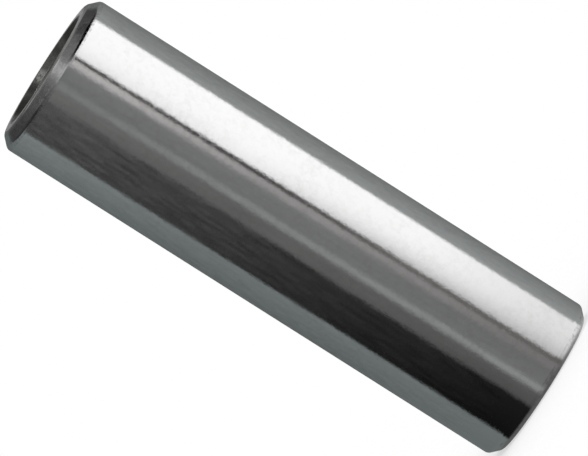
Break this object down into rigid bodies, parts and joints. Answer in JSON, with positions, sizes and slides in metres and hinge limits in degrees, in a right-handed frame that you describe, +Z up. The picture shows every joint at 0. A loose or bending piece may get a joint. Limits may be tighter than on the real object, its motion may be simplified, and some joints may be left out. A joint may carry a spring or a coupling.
{
  "type": "piston pin",
  "caption": "Hollow steel piston pin: a ground tube with chamfered ends that joins a piston to its connecting rod.",
  "frame": {"origin": "centre of the lower end ring, on the surface that the pin stands on", "axes": "+Z up along the pin's axis; X and Y lie across it and are alike, because the pin is round"},
  "size_m": [0.016, 0.016, 0.054],
  "materials": {
    "ground_steel": "polished"
  },
  "bodies": {
    "root": {"piston_pin": "ground_steel"}
  },
  "joints": []
}
